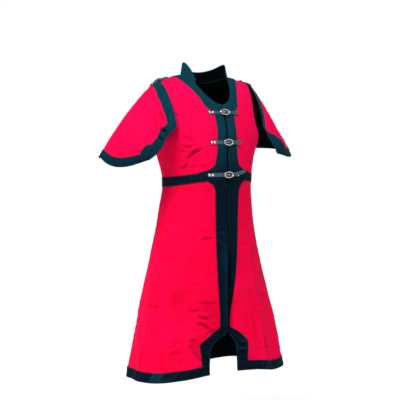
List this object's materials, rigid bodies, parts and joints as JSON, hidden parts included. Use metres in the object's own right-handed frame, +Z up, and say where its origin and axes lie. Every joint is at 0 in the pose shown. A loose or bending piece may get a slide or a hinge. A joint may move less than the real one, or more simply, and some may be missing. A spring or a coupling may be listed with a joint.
{
  "type": "gambeson",
  "caption": "Padded knee-length coat in its worn, hollow form: fitted bodice, flared skirt with an arched front slit, short open sleeves, trim bands and buckled front straps.",
  "frame": {"origin": "between the neck points of the two shoulders, at the level of the shoulder seams beside the neck, where the wearer's shoulders carry the coat", "axes": "+Z up, -Y out of the coat's front, +X towards the wearer's left"},
  "size_m": [0.7884, 0.3302, 1.1214],
  "materials": {
    "red_cloth": "matte woven padded cloth, bright crimson",
    "teal_cloth": "matte woven cloth, dark teal",
    "leather": "smooth dark leather with a soft sheen",
    "steel": "polished, slightly warm",
    "brass": "worn polish"
  },
  "bodies": {
    "root": {"bodice_front_right": "red_cloth", "bodice_front_left": "red_cloth", "bodice_back": "red_cloth", "skirt_front_right": "red_cloth", "skirt_front_left": "red_cloth", "skirt_back": "red_cloth", "sleeve_right": "red_cloth", "sleeve_left": "red_cloth", "collar": "teal_cloth", "waistband_right": "teal_cloth", "waistband_left": "teal_cloth", "waistband_back": "teal_cloth", "front_band_right": "teal_cloth", "front_band_left": "teal_cloth", "neck_trim_right": "teal_cloth", "neck_trim_left": "teal_cloth", "neck_trim_back": "teal_cloth", "skirt_band_right": "teal_cloth", "skirt_band_left": "teal_cloth", "hem_trim_right": "teal_cloth", "hem_trim_left": "teal_cloth", "hem_trim_back": "teal_cloth", "armhole_trim_right": "teal_cloth", "armhole_trim_left": "teal_cloth", "cuff_trim_right": "teal_cloth", "cuff_trim_left": "teal_cloth", "underarm_trim_front_right": "teal_cloth", "underarm_trim_front_left": "teal_cloth", "underarm_trim_back_right": "teal_cloth", "underarm_trim_back_left": "teal_cloth", "strap_1": "leather", "strap_2": "leather", "strap_3": "leather", "buckle_tab_1": "leather", "buckle_tab_2": "leather", "buckle_tab_3": "leather", "shoulder_tab_right": "leather", "shoulder_tab_left": "leather", "buckle_frame_1": "steel", "buckle_frame_2": "steel", "buckle_frame_3": "steel", "prong_1": "steel", "prong_2": "steel", "prong_3": "steel", "rivet_1a": "steel", "rivet_1b": "steel", "rivet_2a": "steel", "rivet_2b": "steel", "rivet_3a": "steel", "rivet_3b": "steel", "tab_rivet": "steel", "shoulder_stud_right_a": "brass", "shoulder_stud_right_b": "brass", "shoulder_stud_left_a": "brass", "shoulder_stud_left_b": "brass"}
  },
  "joints": []
}
